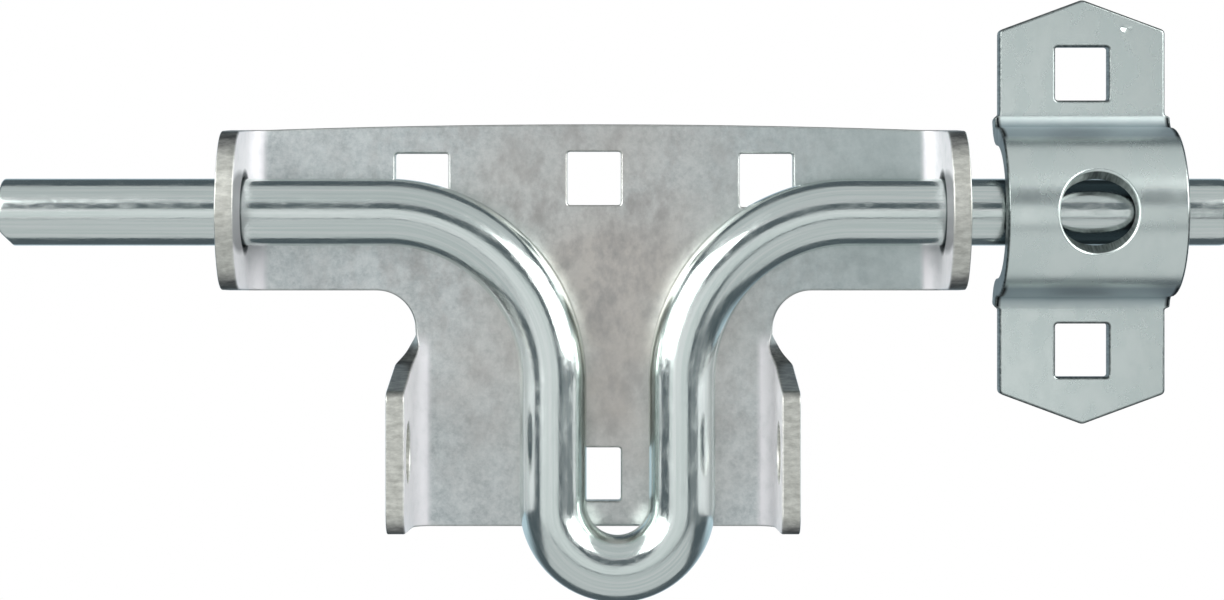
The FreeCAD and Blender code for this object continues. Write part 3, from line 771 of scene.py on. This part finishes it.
def zinc_plated_sheet():
    """Zinc electroplate with a clear passivate, on hot rolled sheet.

    The rolled skin under the zinc shows as soft clouds and a mottled grain in tone and gloss, a
    little brown where the passivate is thick and greener to the right, with smudges from
    handling. The zinc on the bends and inside the ears is rough and less metallic, and its
    colour there is a painted highlight, nearly white. The guide holes and the ear faces beside
    them are painted dark with painted shade from the bolt. Punched edges are duller, and
    painted dark at the ears' corners as a painted reflection of the dark room. The real grain
    is finer than 0.3 mm, and is drawn coarser to show at all.
    """
    material, tree, place, cut = metal_parts("zinc_plated_rolled_sheet")
    clouds = noise(tree, place, (2.6 * MM, 2.6 * MM, 2.6 * MM), 5.0, 0.65)
    grain = noise(tree, place, (0.8 * MM, 0.8 * MM, 0.8 * MM), 4.0, 0.7)
    streaks = noise(tree, place, (1.1 * MM, 1.1 * MM, 2.4 * MM), 4.0, 0.65)
    from_back = add(tree, "SeparateXYZ", (place,)).outputs["Z"]
    front = add(tree, "MapRange", (from_back, *FRONT_FINISH))

    # Rolled skin, the zinc on the ears with its painted highlight, and the painted shade from the
    # bolt on it
    skin = rolled_skin(tree, place, front, clouds, grain)
    guide, lock = ear_shares(tree, place)
    ears = add(tree, "Math", (guide, lock), operation="MAXIMUM")
    ear_fronts = add(tree, "Math", (ears, front), operation="MULTIPLY")
    uneven = add(tree, "MapRange", (clouds, 0.30, 0.55, 0.8, 1.0))
    frost_and_painted_highlight = add(tree, "Math", (ear_fronts, uneven), operation="MULTIPLY")
    # Painted highlight: the ears' bends and inner faces are painted nearly white
    skin = add(tree, "Mix", (frost_and_painted_highlight, skin, PAINTED_HIGHLIGHT_WHITE), data_type="RGBA")
    shade_in_bore, shade_by_bolt = guide_bore_shade(tree, place, guide, front)
    # Painted shade from the bolt in and beside the guide bores
    skin = add(tree, "Mix", (shade_by_bolt, skin, PAINTED_SHADE_BY_BOLT), data_type="RGBA")

    # Punched edges, painted dark at the ears' corners as a painted reflection and in the bores as
    # painted shade
    streaky = add(tree, "MapRange", (streaks, 0.32, 0.68))
    edge = add(tree, "Mix", (streaky, *PUNCHED_EDGE), data_type="RGBA")
    corner_streaks = add(tree, "MapRange", (streaks, 0.3, 0.6, 0.75, 0.5))
    corners = corner_dark_reflection(tree, place, guide, lock)
    dark_corners = add(tree, "Math", (corners, corner_streaks), operation="MULTIPLY")
    # Painted dark reflection at the ears' corners
    edge = add(tree, "Mix", (dark_corners, edge, PAINTED_CORNER_REFLECTION), data_type="RGBA")
    # Painted shade from the bolt on the bores' walls
    edge = add(tree, "Mix", (shade_in_bore, edge, PAINTED_SHADE_BY_BOLT), data_type="RGBA")

    polish = add(tree, "MapRange", (clouds, 0.3, 0.7, 0.37, 0.30))
    face_rough = add(tree, "Mix", (frost_and_painted_highlight, polish, 0.62))
    # Less metallic where the highlight is painted, away from the painted shade and the cut edges
    highlight_clear_of_shade = add(tree, "MapRange", (shade_by_bolt, 0.0, 1.0, frost_and_painted_highlight, 0.0))
    highlight_off_edges = add(tree, "MapRange", (cut, 0.0, 1.0, highlight_clear_of_shade, 0.0))
    metal = add(tree, "BsdfPrincipled", {
        "Base Color": add(tree, "Mix", (cut, skin, edge), data_type="RGBA"),
        "Metallic": add(tree, "MapRange", (highlight_off_edges, 0.0, 1.0, 1.0, 0.4)),
        "Roughness": add(tree, "Mix", (cut, face_rough, 0.42)),
        "Normal": relief(tree, [(clouds, 0.006 * MM), (grain, 0.006 * MM)])})
    add(tree, "OutputMaterial", (metal,))
    return material


def zinc_plated_bar():
    """Zinc electroplate on cold drawn round bar.

    Bright, with the die's fine lines along it, a little frost and some chafed patches from
    handling. Its sheared and rounded ends are duller. The real lines and frost are finer, and
    are drawn coarser to show.
    """
    material, tree, place, cut = metal_parts("zinc_plated_drawn_bar")
    lines = noise(tree, place, (45 * MM, 0.55 * MM, 0.55 * MM))
    chafe = noise(tree, place, (4 * MM, 1.4 * MM, 1.4 * MM), 4.0, 0.65)
    frost = noise(tree, place, (0.5 * MM, 0.35 * MM, 0.35 * MM))
    lined = add(tree, "MapRange", (lines, 0.35, 0.65))
    skin = add(tree, "Mix", (lined, *DRAWN_BAR), data_type="RGBA")
    layers = [(lines, 0.006 * MM), (chafe, 0.028 * MM), (frost, 0.002 * MM)]
    metal = add(tree, "BsdfPrincipled", {
        "Base Color": add(tree, "Mix", (cut, skin, BAR_END), data_type="RGBA"),
        "Metallic": 1.0,
        "Roughness": add(tree, "MapRange", (chafe, 0.42, 0.66, 0.14, 0.26)),
        "Normal": relief(tree, layers)})
    add(tree, "OutputMaterial", (metal,))
    return material


def zinc_plated_strap():
    """Zinc electroplate with a blue passivate, on smooth cold rolled strip.

    It is cleaner and bluer than the sheet, with a frost that is drawn coarser than the real one
    to show. The zinc is matt where the strip was bent hardest, and painted grey there as a
    painted dark reflection on the arch's flanks. Inside the arch it is painted dark as painted
    shade, and the corner of the step into a foot is painted nearly black as a painted shadow.
    Its cut edges are painted dark too, as painted shade and dark reflection, apart from the rim
    of the crown hole, and one foot has a small nick.
    """
    material, tree, place, cut = metal_parts("zinc_plated_cold_rolled_strip")
    clouds = noise(tree, place, (5 * MM, 7 * MM, 5 * MM), 4.0)
    frost = noise(tree, place, (0.4 * MM, 0.4 * MM, 0.4 * MM))
    streaks = noise(tree, place, (0.5 * MM, 0.5 * MM, 5 * MM))
    half = add(tree, "VectorMath", (place,), operation="ABSOLUTE")
    parts = add(tree, "SeparateXYZ", (half,)).outputs
    across, along, from_back = parts["X"], parts["Y"], parts["Z"]

    # Matt zinc with a painted dark reflection from low on the arch to the foot bend, and a painted
    # shadow in the corner of the step
    cloudy = add(tree, "MapRange", (clouds, 0.38, 0.62))
    skin = add(tree, "Mix", (cloudy, *STRAP_SKIN), data_type="RGBA")
    begun = add(tree, "MapRange", (along, 14 * MM, 16 * MM))
    matt = add(tree, "MapRange", (along, FOOT_START - 1.0 * MM, FOOT_START, begun, 0.0))
    flank_reach = add(tree, "MapRange", (along, ARCH_LENGTH + 2.0 * MM, FOOT_START + 0.8 * MM,
                                    begun, 0.0))
    flank_darkening = add(tree, "MapRange", (flank_reach, 0.0, 1.0, 0.0, 0.72))
    # Painted dark reflection on the arch's flanks
    skin = add(tree, "Mix", (flank_darkening, skin, PAINTED_FLANK_REFLECTION), data_type="RGBA")
    step = add(tree, "MapRange", (across, FOOT_HALF - 0.3 * MM, FOOT_HALF + 0.3 * MM, 0.0, matt))
    # Painted shadow in the corner of the step
    skin = add(tree, "Mix", (step, skin, PAINTED_STEP_SHADOW), data_type="RGBA")

    # The back, painted dark inside the arch as painted shade
    under = add(tree, "MapRange", (along, ARCH_LENGTH, FOOT_START))
    # Painted shade inside the arch
    back = add(tree, "Mix", (under, PAINTED_ARCH_SHADE, FOOT_BACK), data_type="RGBA")
    front = add(tree, "MapRange", (from_back, 0.5 * MM, 1.2 * MM))
    faces = add(tree, "Mix", (front, back, skin), data_type="RGBA")

    # Cut edges, painted dark from their rim on as painted shade and dark reflection, but only deep
    # in the wall of the crown hole
    streaky = add(tree, "MapRange", (streaks, 0.35, 0.65))
    # The strap's cut edges, darkened as painted shade and dark reflection
    edge = add(tree, "Mix", (streaky, *STRAP_EDGE_AND_SHADE), data_type="RGBA")
    round_crown = near(tree, place, (0, 0, 0), (12 * MM, 12 * MM, 1))
    crown = add(tree, "MapRange", (round_crown, 0.05, 0.15))
    rim = add(tree, "Mix", (crown, 0.02, 0.75))
    deep = add(tree, "Mix", (crown, 0.20, 0.98))
    wall = add(tree, "MapRange", (cut, rim, deep))

    polish = add(tree, "MapRange", (clouds, 0.3, 0.7, 0.30, 0.24))
    face_rough = add(tree, "Mix", (matt, polish, 0.55))
    nick_place = (NICK[0], FOOT_START + NICK[1] - FOOT_LINE, SHEET)
    nick = near(tree, place, nick_place, (1.1 * MM, 0.8 * MM, 1))
    layers = [(clouds, 0.006 * MM), (frost, 0.003 * MM), (nick, -0.3 * MM)]
    metal = add(tree, "BsdfPrincipled", {
        "Base Color": add(tree, "Mix", (wall, faces, edge), data_type="RGBA"),
        "Metallic": 1.0,
        "Roughness": add(tree, "Mix", (cut, face_rough, 0.42)),
        "Normal": relief(tree, layers)})
    add(tree, "OutputMaterial", (metal,))
    return material


def make_studio():
    """White sweep behind the latch, a dim bluish room before it, and soft panels round the camera.

    The camera sees white all round. Mirrored rays see the sweep white where they point 0.15 to
    0.40 or more away from the camera and less than 0.30 to 0.55 up or down, and the room dim.
    """
    bpy.context.scene.world = bpy.data.worlds.new("studio")
    tree = empty_tree(bpy.context.scene.world)
    parts = add(tree, "SeparateXYZ", (add(tree, "TexCoord").outputs["Generated"],)).outputs
    behind = add(tree, "MapRange", (parts["Y"], 0.15, 0.40))
    slope = add(tree, "Math", (parts["Z"],), operation="ABSOLUTE")
    sweep = add(tree, "MapRange", (slope, 0.30, 0.55, behind, 0.0))
    mirrored_room = add(tree, "MapRange", (sweep, 0.0, 1.0, ROOM_LEVEL, 1.0))
    ray = add(tree, "LightPath").outputs
    seen = add(tree, "Math", (ray["Is Camera Ray"], ray["Is Transmission Ray"]),
               operation="MAXIMUM")
    room = add(tree, "Mix", (ray["Is Glossy Ray"], ROOM_LEVEL, mirrored_room))
    background = add(tree, "Background", {
        "Color": add(tree, "Mix", (seen, ROOM_TINT, WHITE), data_type="RGBA"),
        "Strength": add(tree, "Mix", (seen, room, 1.0))})
    add(tree, "OutputWorld", (background,))
    for panel in PANELS:
        make_panel(*panel)


def make_panel(name, right, up, distance, width, height, brightness):
    """Rectangular lamp that faces the latch. Its power is brightness * pi * area."""
    lamp = bpy.data.lights.new(name, "AREA")
    lamp.shape = "RECTANGLE"
    lamp.size, lamp.size_y = width, height
    lamp.energy = brightness * math.pi * width * height
    panel = bpy.data.objects.new(name, lamp)
    across, rise = math.radians(right), math.radians(up)
    level = math.cos(rise)
    way = Vector((math.sin(across) * level, -math.cos(across) * level, math.sin(rise)))
    panel.location = way * distance
    panel.rotation_euler = (-way).to_track_quat("-Z", "Y").to_euler()
    panel.visible_camera = False
    bpy.context.scene.collection.objects.link(panel)


def make_floor():
    """Pale matt floor below the latch. The camera sees it nearly white, and it keeps shadows."""
    corners = [(x * FLOOR_HALF, y * FLOOR_HALF, -FLOOR_DROP)
               for x, y in ((-1, -1), (1, -1), (1, 1), (-1, 1))]
    mesh = bpy.data.meshes.new("floor")
    mesh.from_pydata(corners, [], [(0, 1, 2, 3)])
    floor = bpy.data.objects.new("floor", mesh)
    bpy.context.scene.collection.objects.link(floor)
    material = bpy.data.materials.new("matt_white_paper")
    tree = empty_tree(material)
    ray = add(tree, "LightPath").outputs
    seen = add(tree, "Math", (ray["Is Camera Ray"], ray["Is Glossy Ray"]), operation="MAXIMUM")
    share = add(tree, "Math", (seen, FLOOR_WHITE), operation="MULTIPLY")
    paper = add(tree, "BsdfDiffuse", {"Color": PAPER})
    white = add(tree, "Emission", {"Color": WHITE, "Strength": 1.0})
    add(tree, "OutputMaterial", (add(tree, "MixShader", (share, paper, white)),))
    mesh.materials.append(material)
    floor.visible_glossy = False


def make_camera():
    """Camera where the photograph was taken from: a long lens, level, before the middle."""
    image_width = 1224
    focal_pixels = 2683
    axis_row, middle_row = 207, 300
    camera = bpy.data.objects.new("camera", bpy.data.cameras.new("camera"))
    camera.data.sensor_width = 36.0
    camera.data.lens = camera.data.sensor_width * focal_pixels / image_width
    camera.data.shift_y = (axis_row - middle_row) / image_width
    camera.data.clip_start = 0.01
    camera.location = (3.46 * MM, -520 * MM, 0.97 * MM)
    camera.rotation_euler = (math.pi / 2, 0, 0)
    bpy.context.scene.collection.objects.link(camera)
    bpy.context.scene.camera = camera


bpy.context.scene.view_settings.view_transform = "Standard"
make_camera()
make_studio()
make_floor()
make_plate().data.materials.append(zinc_plated_sheet())
make_bolt().data.materials.append(zinc_plated_bar())
make_keeper().data.materials.append(zinc_plated_strap())
